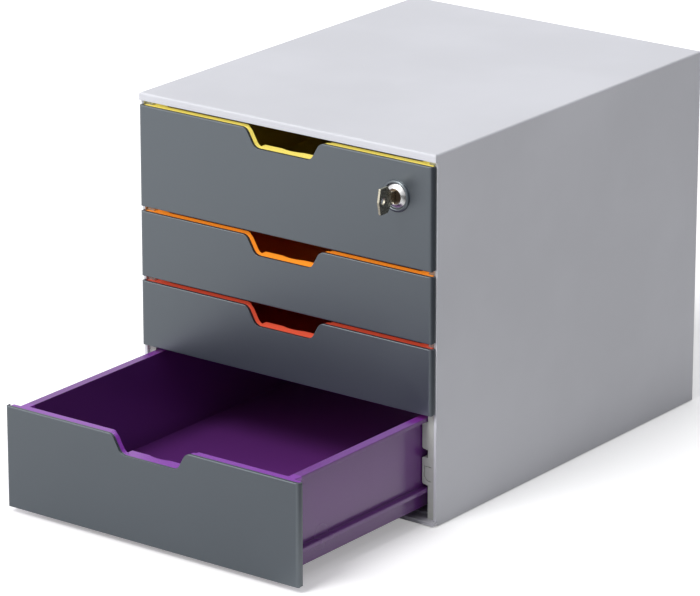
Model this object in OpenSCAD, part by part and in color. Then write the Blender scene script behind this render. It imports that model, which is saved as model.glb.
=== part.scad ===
// Desktop drawer cabinet: a closed case with ten height units, four trays on
// moulded runners behind clipped-on front plates, and a cam lock in the top one.
// X is the width, Y runs to the back, Z is up; the origin lies on the surface
// that the feet stand on, under the centre of the case.

/* [Case] */
// Overall width of the case
case_w = 280; // [250:1:340]
// Overall depth of the case, without the front plates
case_d = 356; // [300:1:430]
// Thickness of the outer shell's top and sides
shell_t = 2.5; // [2:0.1:4]
// Radius of the shell's long top edges
shell_r = 1.6; // [0.5:0.1:2]
// Height of the strip along the shell's top front edge
strip_h = 6.1; // [4:0.1:8]
// Depth of that strip from front to back
strip_d = 4.5; // [3.5:0.1:6]
// Set-back of the side walls' front edges behind the strips
side_setback = 2.8; // [1:0.1:3.2]
// Height of the base panel's front strip
base_h = 3.5; // [3:0.1:3.6]
// Depth of that front strip from front to back
base_bar_d = 6; // [4:0.5:10]
// Thickness of the base panel
base_t = 2.2; // [1.6:0.1:2.6]
// Thickness of the back panel
back_t = 2.4; // [1.6:0.1:4]
// Depth that the back panel lies inside the shell's rear edge
back_inset = 1.2; // [0.8:0.1:4]
// Height that the feet stand out below the base
foot_proud = 0.8; // [0.4:0.1:3]
// Diameter of a foot
foot_d = 14; // [8:1:24]
// Distance of each foot's centre from the case's sides
foot_inset = 24; // [16:1:50]

/* [Height units] */
// Height of one unit
unit_h = 28.2; // [22:0.1:36]
// Heights of the drawers in units, from the top drawer down
drawer_units = [3, 2, 2, 3];
// Height of the lowest unit line above the floor
first_line = 2.8; // [2.6:0.1:3.2]
// Space between the highest unit line and the top of the case
head_h = 7.2; // [6.8:0.1:12]

/* [Front plates] */
// Distance from a front plate's ends to the case's sides
plate_side_gap = 0.9; // [0.1:0.1:2]
// Thickness of a front plate
plate_t = 2.4; // [1.6:0.1:4]
// Gap between two plates
plate_gap = 3.8; // [3:0.1:8]
// Radius of the plates' vertical ends, seen from above
plate_end_r = 3.5; // [1:0.1:5]
// Thickness of the plates' end walls
plate_end_t = 1.6; // [1:0.1:2.4]
// Gap between those end walls and the case's side walls behind them
wrap_gap = 0.4; // [0.3:0.1:1]
// Height of the end walls' lower ends above the plate's lower edge
wrap_rise = 0.8; // [0.4:0.1:2]
// Radius of the plates' corners, seen from the front
plate_corner_r = 1.4; // [0.5:0.1:4]
// Radius along the plates' long front edges
plate_edge_r = 0.7; // [0.3:0.1:1.2]
// Diameter of the pegs that hold a plate on its tray
peg_d = 4; // [2:0.1:6]

/* [Finger notch] */
// Half the notch's width at the top edge
notch_top = 35; // [25:0.1:60]
// Half the notch's width at its bottom
notch_bottom = 26.6; // [12:0.1:45]
// Depth of the notch
notch_depth = 14.7; // [8:0.1:20]
// Radius where the notch meets the top edge
notch_r_top = 7; // [3:0.5:12]
// Radius in the notch's bottom corners
notch_r_bottom = 7.5; // [2:0.5:10]
// Depth of the lip's shelf under the notch
shelf_d = 11.1; // [6:0.1:14]
// Depth of the finger scoop in that shelf
scoop_depth = 1.9; // [0.5:0.1:4]
// Width of the finger scoop
scoop_w = 20; // [10:1:40]

/* [Trays] */
// Thickness of a tray's walls
wall_t = 2; // [1.2:0.1:3]
// Thickness of a tray's floor
floor_t = 2.2; // [1.2:0.1:3]
// Height of the floor's underside above the front plate's lower edge
floor_rise = 7.5; // [4:0.1:12]
// Radius of a tray's upright corners
tray_r = 4; // [2:0.5:10]
// Gap between the front plate's end walls and the tray's front frame
frame_end_gap = 0.9; // [0.3:0.1:3]
// Radius of the front frame's ends, seen from above
frame_end_r = 2; // [0.5:0.1:3]
// Depth of the front frame
frame_d = 4.3; // [3.5:0.1:6]
// Thickness of the front frame's edge
frame_edge = 1.8; // [1.2:0.1:3]
// Depth of the lip along the tray's top front edge
lip_d = 6.9; // [5:0.1:8]
// Reach of the rim flange and the lower rail beyond the side walls
flange_reach = 5.4; // [3:0.1:8]
// Thickness of the rim flange and the lower rail
flange_t = 3.4; // [2.4:0.1:5]
// Drop of the tray's rim below the top of its front plate
rim_drop = 0.5; // [0:0.1:1]
// Space between a closed tray and the back panel
tray_rear_gap = 10; // [4:1:40]
// How far each drawer pulls out, up to its stop
travel = 250; // [150:5:280]
// How far each drawer stands open, from the top drawer down
drawer_open = [0, 0, 0, 162];

/* [Runners] */
// Depth of a runner panel, from the case's side wall to the blocks' faces
runner_depth = 11.9; // [9:0.1:20]
// Headroom above a flange in its slot
slot_head = 2.9; // [2.4:0.1:4]
// Gap between a runner block and a tray's side wall
block_gap = 1; // [0.4:0.1:2]
// Gap between a flange's edge and the back of its slot
slot_gap = 0.8; // [0.4:0.1:2]
// Gap under a flange that rests in its slot
rest_gap = 0.3; // [0.2:0.05:0.6]
// Wall thickness of a runner panel
runner_t = 1.8; // [1.2:0.1:2.4]
// Radius under each runner block
block_r = 2; // [1:0.1:4]
// Gap between a tray's front frame and the runner panels' front face
frame_gap = 0.5; // [0.3:0.1:3]
// Set-back of the lowest runner block behind that face
low_block_setback = 8; // [2:1:20]
// Depth from front to back of a stop nib in a slot
stop_d = 3; // [2:0.1:6]
// Gap between a stop nib and a flange that passes under it
stop_gap = 0.9; // [0.4:0.1:1.4]
// Height over which a tray's nib catches behind the stop nib
stop_catch = 0.7; // [0.3:0.1:1]

/* [Lock] */
// Distance of the lock's axis from the right end of the front plate
lock_side = 33.1; // [24:0.1:60]
// Distance of the lock's axis below the top of the front plate
lock_drop = 27.4; // [24:0.1:40]
// Diameter of the moulded collar round the lock
collar_d = 24.8; // [20:0.1:34]
// Height of the moulded collar
collar_h = 2; // [1:0.1:4]
// Diameter of the bezel
bezel_d = 19.4; // [16:0.1:24]
// Height of the bezel above the front plate
bezel_h = 2.9; // [1.5:0.1:5]
// Radius of the bezel's domed face
dome_r = 16; // [12:0.5:40]
// Diameter of the barrel
barrel_d = 16; // [14:0.1:20]
// Length of the barrel behind the front reference plane
barrel_l = 15.5; // [12:0.5:25]
// Width over the barrel's two flats
barrel_flat = 14; // [12:0.1:18]
// Diameter of the turning plug
plug_d = 11.6; // [9:0.1:13]
// Radial clearance of the plug in its barrel
plug_clear = 0.05; // [0.01:0.01:0.1]
// Width over flats of the nut
nut_af = 19; // [17:0.5:24]
// Thickness of the nut
nut_t = 3; // [2:0.1:5]
// Gap between the tip of the upturned cam and the shell's underside
cam_gap = 3.5; // [1:0.1:4]
// Width of the cam
cam_w = 13; // [8:0.1:18]
// Thickness of the cam
cam_t = 2; // [1:0.1:3]
// Width of the plug's square tail
tail_w = 7; // [5:0.1:8]
// Width of the strike plate
strike_w = 24; // [16:1:40]
// Thickness of the strike plate
strike_t = 1.5; // [1:0.1:2.5]
// Number of wafers in the plug
wafer_count = 5; // [3:1:6]

/* [Key] */
// Thickness of the key
key_t = 1.8; // [1.4:0.1:2]
// Height of the key's blade
blade_h = 7; // [5:0.1:8]
// Length of the blade inside the plug
blade_l = 17.5; // [12:0.5:20]
// Height of the key's bow
bow_h = 20.2; // [16:0.1:32]
// Width of the bow from front to back
bow_w = 15; // [10:0.5:24]
// Distance of the bow's centre from the plug's face
bow_out = 12.4; // [10:0.1:24]
// Diameter of the ring hole in the bow
ring_d = 5; // [2:0.1:6]

/* [Hidden] */
$fn = 48;
eps = 0.01;
seat = 0.1;                       // gap between pieces that are clipped face to face
plate_seat = 0.2;                 // gap between a plate and its tray's front frame

total_units = units_below(-1);
case_h = first_line + total_units * unit_h + head_h;
front_y = -case_d / 2;            // front faces of the top and base strips
rear_y = case_d / 2;
shell_in = case_w / 2 - shell_t;  // inner face of a side wall
shell_under = case_h - shell_t;   // underside of the top
base_top = foot_proud + base_h;
back_y = rear_y - back_inset - back_t;
runner_y1 = back_y - seat;
runner_out = shell_in - seat;
plate_w = case_w - 2 * plate_side_gap;
frame_w = plate_w - 2 * (plate_end_t + frame_end_gap);
block_x = runner_out - runner_depth;
tray_half = block_x - block_gap;  // outer face of a tray's side wall
tray_w = 2 * tray_half;
tray_rear = back_y - tray_rear_gap;
slot_x = tray_half + flange_reach + slot_gap;
slot_h = rest_gap + flange_t + slot_head;
stop_h = slot_head - stop_gap;
nib_h = stop_gap + stop_catch;
slot_drop = plate_gap / 2 + rim_drop + flange_t + rest_gap;  // slot floor below its unit line
frame_y = front_y + plate_seat;
wall_y = frame_y + frame_d;       // rear face of a tray's front wall
runner_y0 = wall_y + frame_gap;
stop_y = runner_y0 + 3;           // front face of the stop nibs in the slots
foot_sink = 1.2;                  // depth that a foot sits in the base
lock_x = plate_w / 2 - lock_side;
lock_z = line_z(total_units) - plate_gap / 2 - lock_drop;
cam_l = shell_under - lock_z - cam_gap;
plate_y = front_y - plate_t;      // front faces of the plates
wrap_y = front_y + side_setback - wrap_gap;   // rear edges of the plates' end walls
bezel_y = plate_y - bezel_h;
plug_y = bezel_y + 0.3;           // the plug's face lies a little inside the bezel
barrel_y = front_y + barrel_l;    // rear end of the barrel
cam_y = barrel_y + 0.3;           // front face of the cam
washer_t = 0.6;
screw_d = 4;
screw_in = 1.4;                   // depth that the screw enters the plug behind its tail
screw_head_t = 2.4;
strike_y = cam_y - 1.4;           // rear face of the strike plate, with play for the cam
strike_leg = 9;                   // depth of the strike plate's upper leg
keyway = [key_t + 0.5, blade_h + 0.5];

case_grey = [0.73, 0.74, 0.77];
inner_grey = [0.66, 0.68, 0.67];
anthracite = [0.36, 0.39, 0.42];
nickel = [0.8, 0.79, 0.76];
tray_colours = [[0.97, 0.85, 0.25], [0.96, 0.55, 0.12], [0.85, 0.24, 0.15], [0.42, 0.16, 0.55]];

// Units taken by the drawers below drawer i; i = -1 gives all units
function units_below(i) =
  i >= len(drawer_units) - 1 ? 0 : drawer_units[i + 1] + units_below(i + 1);
// Height of unit line k above the floor
function line_z(k) = first_line + k * unit_h;
// Unit lines at the bottom and at the top of drawer i
function low_line(i) = units_below(i);
function high_line(i) = units_below(i) + drawer_units[i];
function plate_z0(i) = line_z(low_line(i)) + plate_gap / 2;
function plate_z1(i) = line_z(high_line(i)) - plate_gap / 2;
function rim_z(k) = line_z(k) - plate_gap / 2 - rim_drop;
function slot_z0(k) = line_z(k) - slot_drop;
function slot_z1(k) = slot_z0(k) + slot_h;
// Points on a circular arc
function arc(c, r, a0, a1, n = 8) =
  [for (i = [0 : n]) let (a = a0 + (a1 - a0) * i / n) c + r * [cos(a), sin(a)]];
function flip_x(points) = [for (i = [len(points) - 1 : -1 : 0]) [-points[i][0], points[i][1]]];

// Extrudes an outline given in X and Z from y0 to y1
module along_y(y0, y1) {
  translate([0, y1, 0]) rotate([90, 0, 0]) linear_extrude(y1 - y0) children();
}

// Extrudes an outline given in Y and Z from x0 to x1
module along_x(x0, x1) {
  translate([x0, 0, 0]) rotate([90, 0, 90]) linear_extrude(x1 - x0) children();
}

// The sliver outside a fillet of radius r in the corner p; s points into the shape
module outside_fillet(p, s, r) {
  if (r > 0) difference() {
    translate(p + s * (r - eps) / 2) square(r + eps, center = true);
    translate(p + s * r) circle(r);
  }
}

// A rectangle from p0 to p1 with radii r = [lower left, lower right, upper right, upper left]
module round_rect(p0, p1, r) {
  difference() {
    translate(p0) square(p1 - p0);
    outside_fillet(p0, [1, 1], r[0]);
    outside_fillet([p1[0], p0[1]], [-1, 1], r[1]);
    outside_fillet(p1, [-1, -1], r[2]);
    outside_fillet([p0[0], p1[1]], [1, -1], r[3]);
  }
}

// A box from p0 to p1
module block(p0, p1) {
  translate(p0) cube(p1 - p0);
}

// A cylinder along Y from y0 to y1 at x and z
module rod_y(x, z, d, y0, y1) {
  translate([x, y1, z]) rotate([90, 0, 0]) cylinder(d = d, h = y1 - y0);
}

// Case

// Outline of the shell, seen from the front, with its walls t thick
module shell_outline(t) {
  difference() {
    round_rect([-case_w / 2, foot_proud], [case_w / 2, case_h], [0, 0, shell_r, shell_r]);
    translate([-case_w / 2 + t, foot_proud - eps])
      square([case_w - 2 * t, case_h - foot_proud - t + eps]);
  }
}

module top_strip() {
  along_y(front_y, front_y + strip_d)
    round_rect([-case_w / 2, case_h - strip_h], [case_w / 2, case_h], [0, 0, shell_r, shell_r]);
}

module outer_shell() {
  rib = [1.6, 2.2];               // width and height of a rib under the top
  snap = 0.7;                     // height of the ridges that hold the back panel
  base_step = base_top + seat;
  color(case_grey) difference() {
    union() {
      along_y(front_y + side_setback, rear_y) shell_outline(shell_t);
      top_strip();
      for (x = [-90, -45, 0, 45])
        block([x - rib[0] / 2, front_y + 18, shell_under - rib[1]],
              [x + rib[0] / 2, back_y - 4, shell_under + eps]);
      // two short ribs hold the strike plate between them
      for (s = [-1, 1])
        block([lock_x + s * (strike_w / 2 + 1) - rib[0] / 2, strike_y - strike_leg, shell_under - rib[1]],
              [lock_x + s * (strike_w / 2 + 1) + rib[0] / 2, strike_y + 2, shell_under + eps]);
      for (s = [-1, 1], f = [0.2, 0.5, 0.8])
        translate([s * shell_in, back_y + back_t + 0.1, case_h * f]) snap_ridge(-s, snap);
    }
    // the base's front strip passes in front of the side walls
    block([-case_w / 2 - 1, front_y - 1, 0], [case_w / 2 + 1, front_y + base_bar_d + seat, base_step]);
    // rounded front edge of the top
    along_x(-case_w / 2 - 1, case_w / 2 + 1)
      outside_fillet([front_y, case_h], [1, -1], shell_r);
  }
}

// A small wedge along Z that a panel snaps behind; s is the side that it points to
module snap_ridge(s, height) {
  length = 14;
  translate([0, 0, -length / 2]) linear_extrude(length)
    polygon([[-s * eps, 0], [s * height, 0], [-s * eps, height]]);
}

module base_panel() {
  edge_r = 0.8;
  foot_boss = foot_d + 4;
  color(case_grey) difference() {
    union() {
      along_y(front_y, front_y + base_bar_d)
        round_rect([-case_w / 2, foot_proud], [case_w / 2, base_top], [2.4, 2.4, 0.4, 0.4]);
      block([-runner_out, front_y + base_bar_d - eps, foot_proud], [runner_out, rear_y - 1, foot_proud + base_t]);
      for (s = [-1, 1])
        block([min(s * runner_out, s * slot_x), front_y + base_bar_d - eps, foot_proud],
              [max(s * runner_out, s * slot_x), runner_y1, base_top]);
      for (x = [-60, 0, 60])
        block([x - 0.8, front_y + base_bar_d - eps, foot_proud], [x + 0.8, runner_y1 - 4, base_top - 0.4]);
      foot_places() cylinder(d = foot_boss, h = base_top - foot_proud);
    }
    foot_places() translate([0, 0, -eps]) cylinder(d = foot_d + 2 * seat, h = foot_sink + seat);
    along_x(-case_w / 2 - 1, case_w / 2 + 1)
      outside_fillet([front_y, foot_proud], [1, 1], edge_r);
  }
}

// Puts its children at the four feet, at the height of the base's underside
module foot_places() {
  for (sx = [-1, 1], sy = [-1, 1])
    translate([sx * (case_w / 2 - foot_inset), sy * (case_d / 2 - foot_inset), foot_proud]) children();
}

module rubber_feet() {
  color([0.15, 0.15, 0.16]) foot_places()
    translate([0, 0, -foot_proud]) rotate_extrude()
      round_rect([0, 0], [foot_d / 2, foot_proud + foot_sink], [0, 0.4, 0.4, 0]);
}

module back_panel() {
  z0 = foot_proud + base_t + seat;
  z1 = shell_under - seat;
  half = shell_in - seat;
  rib = [1.6, 4];                 // thickness and depth of a rib on the inner face
  color(case_grey) {
    along_y(back_y, back_y + back_t) round_rect([-half, z0], [half, z1], [1, 1, 1, 1]);
    for (f = [0.25, 0.5, 0.75])
      block([-slot_x + 12, back_y - rib[1], case_h * f - rib[0] / 2],
            [slot_x - 12, back_y + eps, case_h * f + rib[0] / 2]);
  }
}

// Runners

// Z ranges of the runner blocks: one under the first slot, then one above each slot
function block_z(k) = [
  k == 0 ? base_top + seat : slot_z1(k),
  k == total_units ? shell_under - seat : slot_z0(k + 1)
];

// Outline of the runner blocks of the right-hand panel, seen from the front
module block_outline(inset) {
  for (k = [0 : total_units]) {
    z = block_z(k);
    r_low = k == 0 ? 0 : max(block_r - inset, 0.4);
    if (z[1] - z[0] > 2 * inset + 1)
      round_rect([block_x + inset, z[0] + inset], [slot_x + runner_t + inset, z[1] - inset],
                 [r_low, 0, 0, inset > 0 ? 0.4 : 1]);
  }
}

// Outline of a runner panel's end walls and ribs
module runner_wall_outline() {
  block_outline(0);
  translate([slot_x, base_top + seat])
    square([runner_out - slot_x, shell_under - base_top - 2 * seat]);
}

// Outline of the panel's moulded skin: the slots' walls and the hollow blocks
module runner_skin_outline() {
  difference() {
    union() {
      block_outline(0);
      translate([slot_x, base_top + seat])
        square([runner_t, shell_under - base_top - 2 * seat]);
    }
    block_outline(runner_t);
  }
}

// Shallow window of the latch tongue in the panel's front face
module latch_window(k) {
  w = 6.2;
  h = 12;
  depth = 0.8;
  slit = 0.7;
  x0 = block_x + 1.8;
  z0 = line_z(k) + 3.4;
  difference() {
    along_y(runner_y0 - eps, runner_y0 + depth)
      polygon([[x0, z0 + 3], [x0 + 3, z0], [x0 + w, z0], [x0 + w, z0 + h], [x0, z0 + h]]);
    along_y(runner_y0 - 1, runner_y0 + 1)
      polygon([[x0 + slit, z0 + 3 + slit], [x0 + 3 + slit, z0 + slit], [x0 + w, z0 + slit],
               [x0 + w, z0 + h - slit], [x0 + slit, z0 + h - slit]]);
  }
}

module right_runner_shape() {
  rib_count = 4;
  low_y = runner_y0 + low_block_setback;
  top = shell_under - seat;
  difference() {
    union() {
      along_y(runner_y0, runner_y1) runner_skin_outline();
      for (i = [0 : rib_count])
        let (y = runner_y0 + (runner_y1 - runner_t - runner_y0) * i / rib_count)
          along_y(y, y + runner_t) runner_wall_outline();
      for (z = [base_top + seat, top - runner_t])
        block([slot_x, runner_y0, z], [runner_out, runner_y1, z + runner_t]);
      // stop nibs hang from the slots' ceilings near the mouth
      for (k = [1 : total_units])
        block([block_x + 1, stop_y, slot_z1(k) - stop_h], [slot_x + eps, stop_y + stop_d, slot_z1(k) + eps]);
    }
    block([block_x - 1, runner_y0 - 1, base_top], [slot_x, low_y, slot_z0(1) + eps]);
    for (i = [0 : len(drawer_units) - 1]) latch_window(low_line(i) + 1);
  }
  block([block_x, low_y, base_top + seat], [slot_x + eps, low_y + runner_t, slot_z0(1)]);
}

module right_runner_panel() {
  color(inner_grey) right_runner_shape();
}

module left_runner_panel() {
  color(inner_grey) mirror([1, 0, 0]) right_runner_shape();
}

// Angle behind the top edge that the cam swings up behind
module strike_plate() {
  hang = rim_z(total_units) + 0.7;
  z1 = shell_under - seat;
  half = strike_w / 2;
  color(nickel) translate([lock_x, 0, 0]) {
    block([-half, strike_y - strike_t, hang], [half, strike_y, z1]);
    block([-half, strike_y - strike_leg, z1 - strike_t], [half, strike_y - strike_t + eps, z1]);
  }
}

// Drawers

// Right half of the finger notch, grown by g: from above the top edge round to the bottom.
// The origin is at the middle of the top edge.
function notch_half(g) =
  let (slope = atan2(notch_depth, notch_top - notch_bottom),
       run = (notch_top - notch_bottom) / notch_depth,
       depth = notch_depth + g,
       top = notch_top + g / sin(slope),
       bottom = top - depth * run,
       r1 = max(notch_r_top - g, 0.5),
       r2 = notch_r_bottom + g,
       t1 = r1 * tan(slope / 2),
       t2 = r2 * tan(slope / 2))
  concat([[top + t1, 10]],
         arc([top + t1, -r1], r1, 90, 90 + slope),
         arc([bottom - t2, r2 - depth], r2, slope - 90, -90));

module notch_outline(g = 0) {
  polygon(concat(notch_half(g), flip_x(notch_half(g))));
}

// Section of the rim flange or the lower rail on the right, with its top at z: a web with a turned-down edge
module flange_section(z) {
  web = 1.8;
  edge = 1.6;
  difference() {
    round_rect([tray_half - eps, z - flange_t], [tray_half + flange_reach, z], [0, 0.4, 0.8, 0]);
    translate([tray_half, z - flange_t - eps])
      square([flange_reach - edge, flange_t - web + eps]);
  }
}

// Front frame of drawer i: a shallow pan, open to the front, that the plate closes
module tray_frame(i) {
  frame_edge_r = 0.6;
  z0 = plate_z0(i) + 1.2;
  z1 = rim_z(high_line(i));
  half = frame_w / 2;
  difference() {
    intersection() {
      along_y(frame_y, wall_y) difference() {
        round_rect([-half, z0], [half, z1], [1, 1, 1, 1]);
        translate([0, z1]) notch_outline();
      }
      translate([0, 0, z0]) linear_extrude(z1 - z0)
        round_rect([-half, frame_y], [half, wall_y], [frame_edge_r, frame_edge_r, frame_end_r, frame_end_r]);
    }
    along_y(frame_y - 1, wall_y - wall_t) difference() {
      round_rect([-half + frame_edge, z0 + frame_edge], [half - frame_edge, z1 - frame_edge], [1, 1, 1, 1]);
      translate([0, z1]) notch_outline(frame_edge);
    }
  }
}

// Lip along the rim and the shelf with its finger scoop under the notch
module tray_lip(i) {
  z1 = rim_z(high_line(i));
  lip_t = 2.6;
  lip_back = 3;                   // the lip ends this far from the notch
  scoop_r = (pow(scoop_w / 2, 2) + pow(scoop_depth, 2)) / (2 * scoop_depth);
  shelf_y = frame_y + shelf_d;
  difference() {
    union() {
      along_y(wall_y - eps, frame_y + lip_d) difference() {
        translate([-tray_half, z1 - lip_t]) square([tray_w, lip_t]);
        translate([0, z1]) notch_outline(lip_back);
      }
      along_y(wall_y - eps, shelf_y)
        translate([-notch_bottom, z1 - notch_depth - lip_t]) square([2 * notch_bottom, lip_t]);
    }
    translate([0, shelf_y - scoop_depth + scoop_r, z1 - notch_depth - 2 * lip_t])
      cylinder(r = scoop_r, h = 3 * lip_t, $fn = 96);
  }
}

module tray(i) {
  z0 = plate_z0(i) + floor_rise;
  z1 = rim_z(high_line(i));
  in_r = tray_r - wall_t;
  nib_y = stop_y + stop_d + travel + rest_gap;
  flange_lines = [high_line(i), low_line(i) + 1];
  peg_hole = peg_d + 2 * seat;
  translate([0, -drawer_open[i], 0]) difference() {
    union() {
      // the bin
      difference() {
        translate([0, 0, z0]) linear_extrude(z1 - z0)
          round_rect([-tray_half, wall_y - wall_t], [tray_half, tray_rear], [0, 0, tray_r, tray_r]);
        translate([0, 0, z0 + floor_t]) linear_extrude(z1 - z0)
          round_rect([-tray_half + wall_t, wall_y], [tray_half - wall_t, tray_rear - wall_t],
                     [1, 1, in_r, in_r]);
        along_y(wall_y - wall_t - 1, wall_y + 1) translate([0, z1]) notch_outline();
      }
      tray_frame(i);
      tray_lip(i);
      for (s = [0, 1]) mirror([s, 0, 0]) {
        for (k = flange_lines)
          along_y(wall_y - eps, tray_rear - tray_r) flange_section(rim_z(k));
        // stop nib on the rim flange
        along_x(tray_half + 1, tray_half + flange_reach - 0.4)
          polygon([[nib_y, z1 - eps], [nib_y, z1 + nib_h], [nib_y + 2, z1 + nib_h], [nib_y + 6, z1 - eps]]);
      }
      if (i == 0) rod_y(lock_x, lock_z, barrel_d + 8, frame_y, wall_y);
    }
    plate_pegs(i) circle(d = peg_hole);
    if (i == 0) rod_y(lock_x, lock_z, barrel_d + 0.4, front_y - 1, wall_y + 1);
  }
}

// Extrudes its child at each peg of drawer i, from the plate back to the front wall's rear face
module plate_pegs(i) {
  z = [plate_z0(i) + 9, plate_z1(i) - 9];
  x = (tray_half + flange_reach + frame_w / 2 - frame_edge) / 2;
  for (s = [-1, 1], h = z)
    translate([s * x, wall_y - seat, h]) rotate([90, 0, 0]) linear_extrude(wall_y - front_y) children();
}

// The upright outline of plate i with its notch
module plate_outline(i) {
  half = plate_w / 2;
  difference() {
    round_rect([-half, plate_z0(i)], [half, plate_z1(i)],
               [plate_corner_r, plate_corner_r, plate_corner_r, plate_corner_r]);
    translate([0, plate_z1(i)]) notch_outline();
  }
}

// A plate's section, seen from above: rounded ends with walls that reach back
module plate_section() {
  half = plate_w / 2;
  inner_r = 0.8;
  rear_r = 0.4;
  difference() {
    round_rect([-half, plate_y], [half, wrap_y], [plate_end_r, plate_end_r, rear_r, rear_r]);
    round_rect([-half + plate_end_t, front_y], [half - plate_end_t, wrap_y + 1], [inner_r, inner_r, 0, 0]);
  }
}

module front_plate(i) {
  half = plate_w / 2;
  z0 = plate_z0(i);
  z1 = plate_z1(i);
  color(anthracite) translate([0, -drawer_open[i], 0]) difference() {
    union() {
      difference() {
        intersection() {
          along_y(plate_y - 1, wrap_y + 1) plate_outline(i);
          translate([0, 0, z0]) linear_extrude(z1 - z0) plate_section();
        }
        block([-half - 1, front_y, z0 - 1], [half + 1, wrap_y + 1, z0 + wrap_rise]);
        // rounded long edges
        along_x(-half - 1, half + 1) {
          outside_fillet([plate_y, z0], [1, 1], plate_edge_r);
          outside_fillet([plate_y, z1], [1, -1], plate_edge_r);
        }
      }
      plate_pegs(i) circle(d = peg_d);
      if (i == 0) lock_collar();
    }
    if (i == 0) rod_y(lock_x, lock_z, barrel_d + 0.4, plate_y - 2 * collar_h, front_y + 1);
  }
}

// Moulded collar round the bezel: a flat-topped ring with a soft outer flank
module lock_collar() {
  inner = bezel_d / 2 + 0.3;
  outer = collar_d / 2;
  outer_r = 0.9 * collar_h;
  inner_r = 0.3 * collar_h;
  translate([lock_x, plate_y + eps, lock_z]) rotate([90, 0, 0]) rotate_extrude($fn = 96)
    difference() {
      translate([inner, -eps]) square([outer - inner, collar_h + eps]);
      outside_fillet([outer, collar_h], [-1, -1], outer_r);
      outside_fillet([inner, collar_h], [1, -1], inner_r);
    }
}

// Lock

// Places its children on the lock's axis, with Z pointing out of the front, at depth y
module on_lock(y) {
  translate([lock_x, y, lock_z]) rotate([90, 0, 0]) children();
}

module lock_barrel() {
  bore = plug_d + 2 * plug_clear;
  edge = 0.4;
  color(nickel) difference() {
    union() {
      // domed bezel, highest at the plug
      on_lock(plate_y) rotate_extrude($fn = 96) intersection() {
        square([bezel_d / 2, bezel_h]);
        translate([0, bezel_h - sqrt(pow(dome_r, 2) - pow(plug_d / 2, 2))]) circle(dome_r, $fn = 192);
      }
      difference() {
        on_lock(barrel_y) cylinder(d = barrel_d, h = barrel_l + plate_t + eps);
        for (s = [-1, 1])
          translate([lock_x + s * (barrel_flat / 2 + barrel_d / 2), wall_y + barrel_l / 2 + nut_t, lock_z])
            cube([barrel_d, barrel_l, 2 * barrel_d], center = true);
      }
    }
    on_lock(barrel_y + 1) cylinder(d = bore, h = barrel_l + plate_t + bezel_h + 2);
    // chamfered edge of the bore round the plug
    on_lock(bezel_y) rotate_extrude($fn = 96)
      polygon([[bore / 2 - 1, -edge], [bore / 2, -edge], [bore / 2 + edge, 0], [bore / 2 + edge, 1],
               [bore / 2 - 1, 1]]);
  }
}

module lock_nut() {
  across = nut_af / cos(30);
  color(nickel) on_lock(wall_y + seat + nut_t) difference() {
    cylinder(d = across, h = nut_t, $fn = 6);
    translate([0, 0, -1]) cylinder(d = barrel_d + 0.2, h = nut_t + 2);
  }
}

// Depth of wafer i behind the plug's face
function wafer_y(i) = plug_y + 4.5 + i * 2.4;

module lock_plug() {
  wafer_slot = [4, 1.1];
  color(nickel) difference() {
    union() {
      on_lock(cam_y) cylinder(d = plug_d, h = cam_y - plug_y);
      translate([lock_x - tail_w / 2, cam_y - eps, lock_z - tail_w / 2])
        cube([tail_w, cam_t + eps, tail_w]);
    }
    // keyway, wafer slots and the tail's screw hole
    translate([lock_x - keyway[0] / 2, plug_y - 1, lock_z - keyway[1] / 2])
      cube([keyway[0], blade_l + 1.5, keyway[1]]);
    for (i = [0 : wafer_count - 1])
      translate([lock_x - wafer_slot[0] / 2, wafer_y(i), lock_z - plug_d])
        cube([wafer_slot[0], wafer_slot[1], 2 * plug_d]);
    on_lock(cam_y + cam_t + 1) cylinder(d = screw_d + 0.2, h = 1 + cam_t + screw_in + 0.2);
  }
}
// Spring-loaded wafers, drawn back flush by the key
module lock_wafers() {
  size = [3.8, 0.8, plug_d - 1.1];
  color([0.78, 0.68, 0.4]) for (i = [0 : wafer_count - 1])
    translate([lock_x, wafer_y(i) + 0.55, lock_z]) difference() {
      cube(size, center = true);
      cube([keyway[0], 2, keyway[1]], center = true);
    }
}

// The cam points to the left when the lock is open, and up when it is turned to shut
module lock_cam() {
  hub_r = cam_w / 2 + 1.5;
  tip_r = 2.5;
  color(nickel) on_lock(cam_y + cam_t) linear_extrude(cam_t) difference() {
    union() {
      circle(hub_r);
      round_rect([-cam_l, -cam_w / 2], [0, cam_w / 2], [tip_r, 0, 0, tip_r]);
    }
    square(tail_w + 2 * seat, center = true);
  }
}

module cam_washer() {
  color(nickel) on_lock(cam_y + cam_t + washer_t + seat) difference() {
    cylinder(d = 11, h = washer_t);
    translate([0, 0, -1]) cylinder(d = screw_d + 0.4, h = washer_t + 2);
  }
}

module cam_screw() {
  head_y = cam_y + cam_t + washer_t + 2 * seat;
  color(nickel) {
    on_lock(head_y + screw_head_t) difference() {
      cylinder(d = 8, h = screw_head_t);
      for (a = [0, 90]) rotate(a) cube([5, 1, 2.4], center = true);
    }
    on_lock(head_y + eps) cylinder(d = screw_d, h = head_y + eps - cam_y + screw_in);
  }
}

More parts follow.
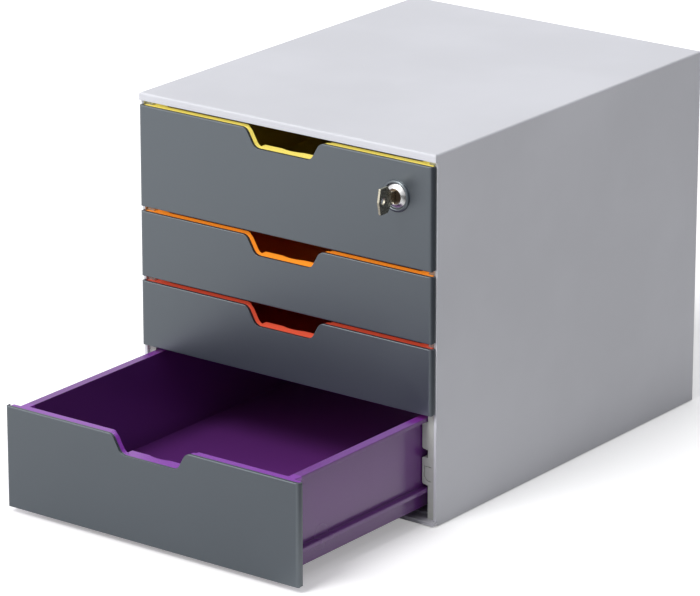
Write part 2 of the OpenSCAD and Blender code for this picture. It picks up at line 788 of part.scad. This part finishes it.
// The key stands upright in the keyway; its outline lies in Y and Z
module key() {
  bow_y = plug_y - bow_out;
  neck_h = 9.4;
  shoulder_y = plug_y - 0.4;
  cut = 1.3;                      // depth of a notch in the blade
  tip_y = plug_y + blade_l;
  front = bow_y - bow_w / 2;
  back = bow_y + bow_w / 2;
  ridge = 2;                      // how far the front edge stands out at mid height
  waist = 4.2;                    // how far the rear edge draws in above and below the neck
  r = 3;
  color(nickel) along_x(lock_x - key_t / 2, lock_x + key_t / 2) translate([0, lock_z]) difference() {
    union() {
      // bow with a blunt ridge in its front edge
      difference() {
        round_rect([front, -bow_h / 2], [back, bow_h / 2], [r, r, r, r]);
        for (s = [-1, 1])
          polygon([[front - 1, s * bow_h], [front + ridge, s * bow_h], [front + ridge, s * bow_h / 2],
                   [front - eps, 0], [front - 1, 0]]);
        for (s = [-1, 1])
          polygon([[back + 1, s * bow_h], [back - waist, s * bow_h], [back - waist, s * bow_h / 2],
                   [back + eps, s * neck_h / 2], [back + 1, s * neck_h / 2]]);
      }
      translate([back - 1, -neck_h / 2]) square([shoulder_y - back + 1, neck_h]);
      translate([shoulder_y - 1, -blade_h / 2]) square([tip_y - 3 - shoulder_y + 1, blade_h]);
      polygon([[tip_y - 3 - eps, -blade_h / 2], [tip_y, -1], [tip_y, 1], [tip_y - 3 - eps, blade_h / 2]]);
    }
    translate([bow_y - bow_w / 6, 0]) circle(d = ring_d);
    // notches of the blade, one at each wafer, on alternate edges
    for (i = [0 : wafer_count - 1])
      let (s = i % 2 == 0 ? 1 : -1, y = wafer_y(i) + 0.55)
        polygon([[y - 1.3, s * (blade_h / 2 + eps)], [y - 0.4, s * (blade_h / 2 - cut)],
                 [y + 0.4, s * (blade_h / 2 - cut)], [y + 1.3, s * (blade_h / 2 + eps)]]);
  }
}

module tray_1() { color(tray_colours[0]) tray(0); }
module tray_2() { color(tray_colours[1]) tray(1); }
module tray_3() { color(tray_colours[2]) tray(2); }
module tray_4() { color(tray_colours[3]) tray(3); }

outer_shell();
base_panel();
back_panel();
left_runner_panel();
right_runner_panel();
rubber_feet();
strike_plate();
tray_1();
tray_2();
tray_3();
tray_4();
front_plate(0);  // front_1
front_plate(1);  // front_2
front_plate(2);  // front_3
front_plate(3);  // front_4
lock_barrel();
lock_nut();
lock_plug();
lock_wafers();
lock_cam();
cam_washer();
cam_screw();
key();
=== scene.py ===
# Desktop drawer cabinet: finishes of its pieces, and the floor, light and camera around the frame.
import math
import bpy
from mathutils import Matrix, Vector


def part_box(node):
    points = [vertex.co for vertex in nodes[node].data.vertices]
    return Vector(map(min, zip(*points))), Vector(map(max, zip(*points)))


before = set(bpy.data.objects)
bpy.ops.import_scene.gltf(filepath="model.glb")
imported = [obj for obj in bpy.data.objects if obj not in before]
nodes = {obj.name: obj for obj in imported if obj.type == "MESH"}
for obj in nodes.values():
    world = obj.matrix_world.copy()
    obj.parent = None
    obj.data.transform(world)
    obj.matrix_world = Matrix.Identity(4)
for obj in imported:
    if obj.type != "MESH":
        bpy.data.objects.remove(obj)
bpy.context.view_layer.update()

print("frame loaded:", len(nodes), "pieces")


class Value:
    # wraps one output socket, so that + - and * on it build Math nodes
    def __init__(self, tree, socket):
        self.tree, self.socket = tree, socket

    def joined(self, operation, first, second):
        return self.tree.node("ShaderNodeMath", {"operation": operation}, {0: first, 1: second})

    def __add__(self, other):
        return self.joined("ADD", self, other)

    def __sub__(self, other):
        return self.joined("SUBTRACT", self, other)

    def __rsub__(self, other):
        return self.joined("SUBTRACT", other, self)

    def __mul__(self, other):
        return self.joined("MULTIPLY", self, other)

    def larger(self, other):
        return self.joined("MAXIMUM", self, other)

    def ramp(self, low, high):
        # 0 below low, 1 above high, smooth between
        return self.tree.node("ShaderNodeMapRange", {"interpolation_type": "SMOOTHSTEP"},
                              {"Value": self, "From Min": low, "From Max": high})

    def split(self):
        # the X of a vector; its Y and Z are other outputs of the same node
        return self.tree.node("ShaderNodeSeparateXYZ", {}, {0: self})

    def other(self, output):
        return Value(self.tree, self.socket.node.outputs[output])


class Tree:
    # the node tree of a material or world; one method makes every node. Its x, y and z are places
    # on the piece, in metres, or in a world the parts of a direction
    def __init__(self, owner, coordinates="Object"):
        self.owner = owner
        owner.use_nodes = True
        self.nodes, self.links = owner.node_tree.nodes, owner.node_tree.links
        self.nodes.clear()
        self.place = self.node("ShaderNodeTexCoord", output=coordinates)
        self.x = self.place.split()
        self.y, self.z = self.x.other("Y"), self.x.other("Z")

    def node(self, kind, settings=None, inputs=None, output=0):
        made = self.nodes.new(kind)
        for key, value in (settings or {}).items():
            setattr(made, key, value)
        for key, value in (inputs or {}).items():
            if isinstance(value, Value):
                self.links.new(value.socket, made.inputs[key])
            elif isinstance(value, tuple) and made.inputs[key].type == "RGBA":
                made.inputs[key].default_value = (*value, 1.0)
            else:
                made.inputs[key].default_value = value
        return Value(self, made.outputs[output]) if made.outputs else None

    def noise(self, scale, detail=2.0, roughness=0.5, stretch=(1.0, 1.0, 1.0)):
        # noise over the piece; scale is how many features it has per metre
        at = self.node("ShaderNodeMapping", {}, {"Vector": self.place, "Scale": stretch})
        return self.node("ShaderNodeTexNoise", {}, {"Vector": at, "Scale": scale, "Detail": detail,
                                                   "Roughness": roughness})

    def mix(self, share, first, second):
        # colours mixed by a share from 0 to 1; 6 and 7 are the node's two colours, 2 its result
        return self.node("ShaderNodeMix", {"data_type": "RGBA"}, {0: share, 6: first, 7: second}, 2)

    def bump(self, height, depth, strength, under):
        # height from 0 to 1 raised by depth in metres, over the normal that lies under it
        return self.node("ShaderNodeBump", {}, {"Height": height, "Distance": depth,
                                                "Strength": strength, "Normal": under})

    def softEdges(self, radius):
        # a normal that rounds the piece's edges
        return self.node("ShaderNodeBevel", {"samples": 6}, {"Radius": radius})

    def facing(self, axis):
        # how far the surface faces along one of the piece's own axes
        return self.node("ShaderNodeTexCoord", output="Normal").split().other(axis)

    def surface(self, **inputs):
        # the inputs whose names aren't here have the shader's own, with a capital
        names = {"colour": "Base Color", "coat": "Coat Weight", "coatRoughness": "Coat Roughness",
                 "ior": "IOR", "tint": "Specular Tint", "glow": "Emission Color",
                 "glowStrength": "Emission Strength", "shine": "Specular IOR Level"}
        shader = self.node("ShaderNodeBsdfPrincipled", {},
                           {names.get(key, key.capitalize()): value for key, value in inputs.items()})
        self.node("ShaderNodeOutputMaterial", {}, {"Surface": shader})
        return self.owner


def linear(r, g, b):
    # display colour from 0 to 255 to the linear values that a shader takes
    return tuple(c / 12.92 if c <= 0.04045 else ((c + 0.055) / 1.055) ** 2.4
                 for c in (v / 255 for v in (r, g, b)))


def shade(colour, factor):
    return tuple(min(c * factor, 1.0) for c in colour)


# what every moulded piece shares; a piece's own finish changes some of it. A band holds the two
# noise values between which an effect goes from none to full
mouldedFinish = {
    "roughness": 0.42,
    "ior": 1.5,
    "shine": 0.5,             # specular level, where 0.5 is a plain plastic
    "tint": (1.0, 1.0, 1.0),  # colour of its reflections
    "coat": 0.0,              # gloss of a polished mould
    "coatRoughness": 0.1,
    "clouds": 9.0,            # slow flow clouds, per metre
    "cloudBand": (0.3, 0.7),
    "cloudDepth": 0.03,       # how far they shift the colour
    "cloudMean": 0.5,
    "cloudRoughness": 0.06,   # how far they shift the roughness
    "grain": 1500.0,          # grains of the mould's skin, per metre
    "grainDepth": 0.00002,
    "grainStrength": 0.5,
    "speckle": 0.05,          # how much of a lighter shade the highest grains have
    "speckleBand": (0.55, 0.75),
    "speckleShade": 1.25,
    "handled": 24.0,          # patches that fingers have polished, per metre
    "handledBand": (0.48, 0.8),
    "handling": 0.05,         # how far they take the roughness down
    "edge": 0.00025,          # radius of the mould's edges
    "glow": 0.0,              # painted light: a glow on a tray's lips and rim that stands in for light falling on them
}


# where a tray's lips and rim get painted light, in metres from its front and from its top
lips = {
    "depth": 0.014,
    "height": 0.0195,
    "rim": 0.0035,
    "rimShare": 0.4,          # how much of the lips' painted light the rest of the rim has
    "fade": 0.002,
    "backwards": (0.3, 0.6),  # faces that turn to the back this far lose the painted light, none to all
    "level": (0.4, 0.7),      # faces that turn up this far have the rim's painted light, none to all
}


def lipShare(tree, node):
    # painted light: 1 on the front frame's outer lips, rimShare on the level rim and 0 on the rest of
    # the tray
    low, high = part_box(node)
    front = tree.y.ramp(low[1] + lips["depth"], low[1] + lips["depth"] - lips["fade"])
    upper = tree.z.ramp(high[2] - lips["height"], high[2] - lips["height"] + lips["fade"])
    rim = tree.z.ramp(high[2] - lips["rim"], high[2] - lips["rim"] + lips["fade"])
    outwards = 1.0 - tree.facing("Y").ramp(*lips["backwards"])
    level = tree.facing("Z").ramp(*lips["level"])
    return (front * upper * outwards).larger(rim * level * lips["rimShare"])


def mouldedPlastic(name, changes):
    finish = {**mouldedFinish, **changes}
    tree = Tree(bpy.data.materials.new(name))
    base = finish["colour"]
    clouds = tree.noise(finish["clouds"], detail=3.0)
    grain = tree.noise(finish["grain"], detail=2.0, roughness=0.6)
    handled = tree.noise(finish["handled"], detail=4.0, roughness=0.65).ramp(*finish["handledBand"])
    depth = finish["cloudDepth"]
    colour = tree.mix(clouds.ramp(*finish["cloudBand"]), shade(base, 1 - depth), shade(base, 1 + depth))
    colour = tree.mix(grain.ramp(*finish["speckleBand"]) * finish["speckle"], colour,
                      shade(base, finish["speckleShade"]))
    roughness = ((clouds - finish["cloudMean"]) * finish["cloudRoughness"] + finish["roughness"]
                 - handled * finish["handling"])
    normal = tree.bump(grain, finish["grainDepth"], finish["grainStrength"],
                       tree.softEdges(finish["edge"]))
    glow = {}
    # painted light on a tray's lips and rim: a lighter colour and a glow
    if finish["glow"]:
        share = lipShare(tree, finish["node"])
        colour = tree.mix(share, colour, finish["lip"])
        glow = {"glow": tree.mix(share, (0.0, 0.0, 0.0), finish["lip"]), "glowStrength": finish["glow"]}
    return tree.surface(colour=colour, roughness=roughness, normal=normal, shine=finish["shine"],
                        ior=finish["ior"], tint=finish["tint"], coat=finish["coat"],
                        coatRoughness=finish["coatRoughness"], **glow)


casePlastic = mouldedPlastic("casePlastic", {"colour": linear(218, 219, 225), "shine": 0.4,
                                             "edge": 0.0006})
runnerPlastic = mouldedPlastic("runnerPlastic", {"colour": linear(200, 203, 197), "roughness": 0.45})
frontPlastic = mouldedPlastic("frontPlastic", {
    "colour": linear(43, 48, 58), "roughness": 0.36, "ior": 1.82, "shine": 1.0,
    "tint": (0.88, 0.97, 1.0), "speckle": 0.03, "handling": 0.03})

# each tray's pigment, and the lighter colour and glow painted on its lips as light
trayLooks = {
    "yellow": {"node": "tray_1", "colour": linear(244, 220, 96), "lip": linear(252, 232, 116),
               "glow": 0.42},
    "orange": {"node": "tray_2", "colour": linear(238, 142, 56), "lip": linear(255, 154, 48),
               "glow": 0.5},
    "red": {"node": "tray_3", "colour": linear(212, 76, 52), "lip": linear(230, 92, 66),
            "glow": 0.33},
    "purple": {"node": "tray_4", "colour": linear(106, 49, 129), "lip": linear(136, 50, 172),
               "glow": 0.14, "ior": 1.85},
}
trayFinish = {
    "roughness": 0.26, "coat": 0.15, "handling": 0.02, "grainDepth": 0.000008,
    "speckle": 0.02, "cloudDepth": 0.04, "edge": 0.0006,
}
trayPlastic = {key: mouldedPlastic(key + "TrayPlastic", {**trayFinish, **look})
               for key, look in trayLooks.items()}
footRubber = mouldedPlastic("footRubber", {"colour": linear(44, 44, 46), "roughness": 0.75,
                                           "grainDepth": 0.00005})


# what the metals share
metalFinish = {
    "lines": 900.0,                   # fine drawing lines, per metre
    "lineStretch": (1.0, 0.08, 1.0),
    "lineDepth": 0.000004,
    "lineStrength": 0.4,
    "lineRoughness": 0.08,
    "stain": 0.25,                    # how far dull stains and pits darken it
    "stains": 180.0,                  # stains per metre
    "stainBand": (0.45, 0.75),
    "stainShade": 0.72,
    "stainRoughness": 0.07,
    "pits": 2600.0,                   # pits per metre
    "pitBand": (0.68, 0.76),
    "pitShade": 0.3,
    "pitRoughness": 0.1,
    "edge": 0.0004,
}


def metal(name, changes):
    finish = {**metalFinish, **changes}
    tree = Tree(bpy.data.materials.new(name))
    base = finish["colour"]
    lines = tree.noise(finish["lines"], detail=3.0, roughness=0.6, stretch=finish["lineStretch"])
    stains = tree.noise(finish["stains"], detail=4.0, roughness=0.6).ramp(*finish["stainBand"])
    pits = tree.noise(finish["pits"], detail=1.0).ramp(*finish["pitBand"])
    colour = tree.mix(stains * finish["stain"], base, shade(base, finish["stainShade"]))
    colour = tree.mix(pits * finish["stain"], colour, shade(base, finish["pitShade"]))
    roughness = (lines * finish["lineRoughness"] + stains * finish["stainRoughness"]
                 + pits * finish["pitRoughness"] + finish["roughness"])
    normal = tree.bump(lines, finish["lineDepth"], finish["lineStrength"],
                       tree.softEdges(finish["edge"]))
    return tree.surface(colour=colour, roughness=roughness, metallic=1.0, normal=normal)


lockChrome = metal("lockChrome", {"colour": linear(232, 231, 230), "roughness": 0.17, "stain": 0.12,
                                  "lineDepth": 0.000002})
plugNickel = metal("plugNickel", {"colour": linear(128, 112, 96), "roughness": 0.3, "stain": 0.6})
keyNickel = metal("keyNickel", {"colour": linear(212, 205, 184), "roughness": 0.22})
zincSteel = metal("zincSteel", {"colour": linear(200, 202, 204), "roughness": 0.28})
waferBrass = metal("waferBrass", {"colour": linear(206, 172, 104), "roughness": 0.25})

finishes = {
    "outer_shell": casePlastic, "base_panel": casePlastic, "back_panel": casePlastic,
    "left_runner_panel": runnerPlastic, "right_runner_panel": runnerPlastic,
    "rubber_feet": footRubber, "strike_plate": zincSteel,
    "tray_1": trayPlastic["yellow"], "tray_2": trayPlastic["orange"],
    "tray_3": trayPlastic["red"], "tray_4": trayPlastic["purple"],
    "front_1": frontPlastic, "front_2": frontPlastic, "front_3": frontPlastic,
    "front_4": frontPlastic,
    "lock_barrel": lockChrome, "lock_nut": zincSteel, "lock_plug": plugNickel,
    "lock_wafers": waferBrass, "lock_cam": zincSteel, "cam_washer": zincSteel,
    "cam_screw": zincSteel, "key": keyNickel,
}
for name, material in finishes.items():
    slots = nodes[name].data.materials
    slots.clear()
    slots.append(material)
print("finishes on", len(finishes), "pieces")


paper = {
    "size": 16.0,
    "shade": 0.8,             # of the paper that lights the object
    "shown": 0.95,            # of the paper that is seen, also in a mirror image
    "lift": 0.3,              # light of its own, for the camera only
    "roughness": 0.9,
    "shine": 0.1,
    "fibre": 400.0,           # fibres per metre
    "fibreBand": (0.3, 0.7),
    "fibreDepth": 0.02,
    "fibreShade": 0.97,
    "dim": 0.92,              # painted shade: share that its mirror image loses towards the right
    "dimFrom": 0.14,          # between these two X
    "dimTo": 0.45,
    "slow": 0.45,             # painted shade: share that its mirror image loses over a longer way, on the left only
    "slowFrom": -0.75,
    "slowTo": 0.1,
}


def makeFloor():
    tree = Tree(bpy.data.materials.new("floorPaper"))
    straight = tree.node("ShaderNodeLightPath")  # 1 where the camera sees it itself
    seen = straight + straight.other("Is Glossy Ray") + straight.other("Is Transmission Ray")
    fibre = tree.noise(paper["fibre"], detail=3.0).ramp(*paper["fibreBand"])
    plain = tree.mix(fibre * paper["fibreDepth"], (paper["shade"],) * 3,
                     shade((paper["shade"],) * 3, paper["fibreShade"]))
    # painted shade in its mirror image, which the glossy pieces show: what stays of it, near over the
    # right, far over the left
    near = 1.0 - tree.x.ramp(paper["dimFrom"], paper["dimTo"]) * paper["dim"]
    left = 1.0 - tree.x.ramp(paper["slowTo"], paper["dimFrom"])
    far = 1.0 - tree.x.ramp(paper["slowFrom"], paper["slowTo"]) * left * paper["slow"]
    shown = tree.mix((1.0 - near * far) * (1.0 - straight), (paper["shown"],) * 3, (0.0, 0.0, 0.0))
    colour = tree.mix(seen, plain, shown)
    glow = tree.mix(straight, (0.0, 0.0, 0.0), (paper["lift"],) * 3)
    material = tree.surface(colour=colour, roughness=paper["roughness"], shine=paper["shine"],
                            glow=glow, glowStrength=1.0)
    half = paper["size"] / 2
    mesh = bpy.data.meshes.new("floorPaper")
    mesh.from_pydata([(-half, -half, 0), (half, -half, 0), (half, half, 0), (-half, half, 0)], [],
                     [(0, 1, 2, 3)])
    mesh.materials.append(material)
    floor = bpy.data.objects.new("floorPaper", mesh)
    bpy.context.scene.collection.objects.link(floor)


# a way holds the two values of a direction's X, Y or Z between which a change goes from none to full
sky = {
    "zenith": 0.78,
    "horizon": 0.22,
    "upWay": (-0.1, 1.0),
    "right": 0.72,        # share of its light that is lost towards the right
    "rightWay": (0.0, 0.9),
    "mirrorRight": 0.85,  # the same in its mirror image
    "mirrorBack": 0.35,   # and towards the back
    "backWay": (0.0, 0.8),
    "tint": (0.975, 0.975, 1.0),
}


def makeWorld():
    # a soft sky, bright overhead, dim at the horizon and to the right; seen, it is white
    world = bpy.data.worlds.new("studio")
    bpy.context.scene.world = world
    tree = Tree(world, "Generated")
    straight = tree.node("ShaderNodeLightPath")  # 1 where the camera sees it itself
    mirrored = straight.other("Is Glossy Ray") + straight.other("Is Transmission Ray")
    right = tree.x.ramp(*sky["rightWay"])
    light = tree.z.ramp(*sky["upWay"]) * (sky["zenith"] - sky["horizon"]) + sky["horizon"]
    light = light * (1.0 - right * sky["right"]) * (1.0 - straight - mirrored)
    back = tree.y.ramp(*sky["backWay"])
    image = (1.0 - right * sky["mirrorRight"]) * (1.0 - back * sky["mirrorBack"])
    strength = light + straight + mirrored * image
    colour = tree.mix(straight, sky["tint"], (1.0, 1.0, 1.0))
    shown = tree.node("ShaderNodeBackground", {}, {"Color": colour, "Strength": strength})
    tree.node("ShaderNodeOutputWorld", {}, {"Surface": shown})


# far softboxes: degrees round from the front, less than 0 to the left, degrees above the floor,
# and the width in degrees of the disc that they show
lamps = {
    "keyLight": {"energy": 1.38, "turn": -9.0, "height": 52.0, "width": 22.0},
    "fillLight": {"energy": 0.85, "turn": -20.0, "height": 30.0, "width": 50.0},
}


def makeLamps():
    for name, lamp in lamps.items():
        data = bpy.data.lights.new(name, "SUN")
        data.energy = lamp["energy"]
        data.angle = math.radians(lamp["width"])
        made = bpy.data.objects.new(name, data)
        made.rotation_euler = (math.radians(90 - lamp["height"]), 0.0, math.radians(lamp["turn"]))
        bpy.context.scene.collection.objects.link(made)


view = {
    "turn": 36.9,     # degrees round from the front, to the right
    "tilt": 18.496,   # degrees down
    "place": (2.0206, -2.7871, 1.2581),
    "focalPixels": 4603.0,
    "widthPixels": 700.0,
    "sensor": 36.0,
    "clipEnd": 50.0,
}


def makeCamera():
    data = bpy.data.cameras.new("camera")
    data.sensor_width = view["sensor"]
    data.lens = view["focalPixels"] / view["widthPixels"] * view["sensor"]
    data.clip_end = view["clipEnd"]
    camera = bpy.data.objects.new("camera", data)
    turn = (Matrix.Rotation(math.radians(view["turn"]), 3, "Z")
            @ Matrix.Rotation(math.radians(90 - view["tilt"]), 3, "X"))
    camera.rotation_euler = turn.to_euler()
    camera.location = view["place"]
    bpy.context.scene.collection.objects.link(camera)
    bpy.context.scene.camera = camera


makeFloor()
makeWorld()
makeLamps()
makeCamera()
bpy.context.scene.view_settings.view_transform = "Standard"
print("floor, light and camera ready")
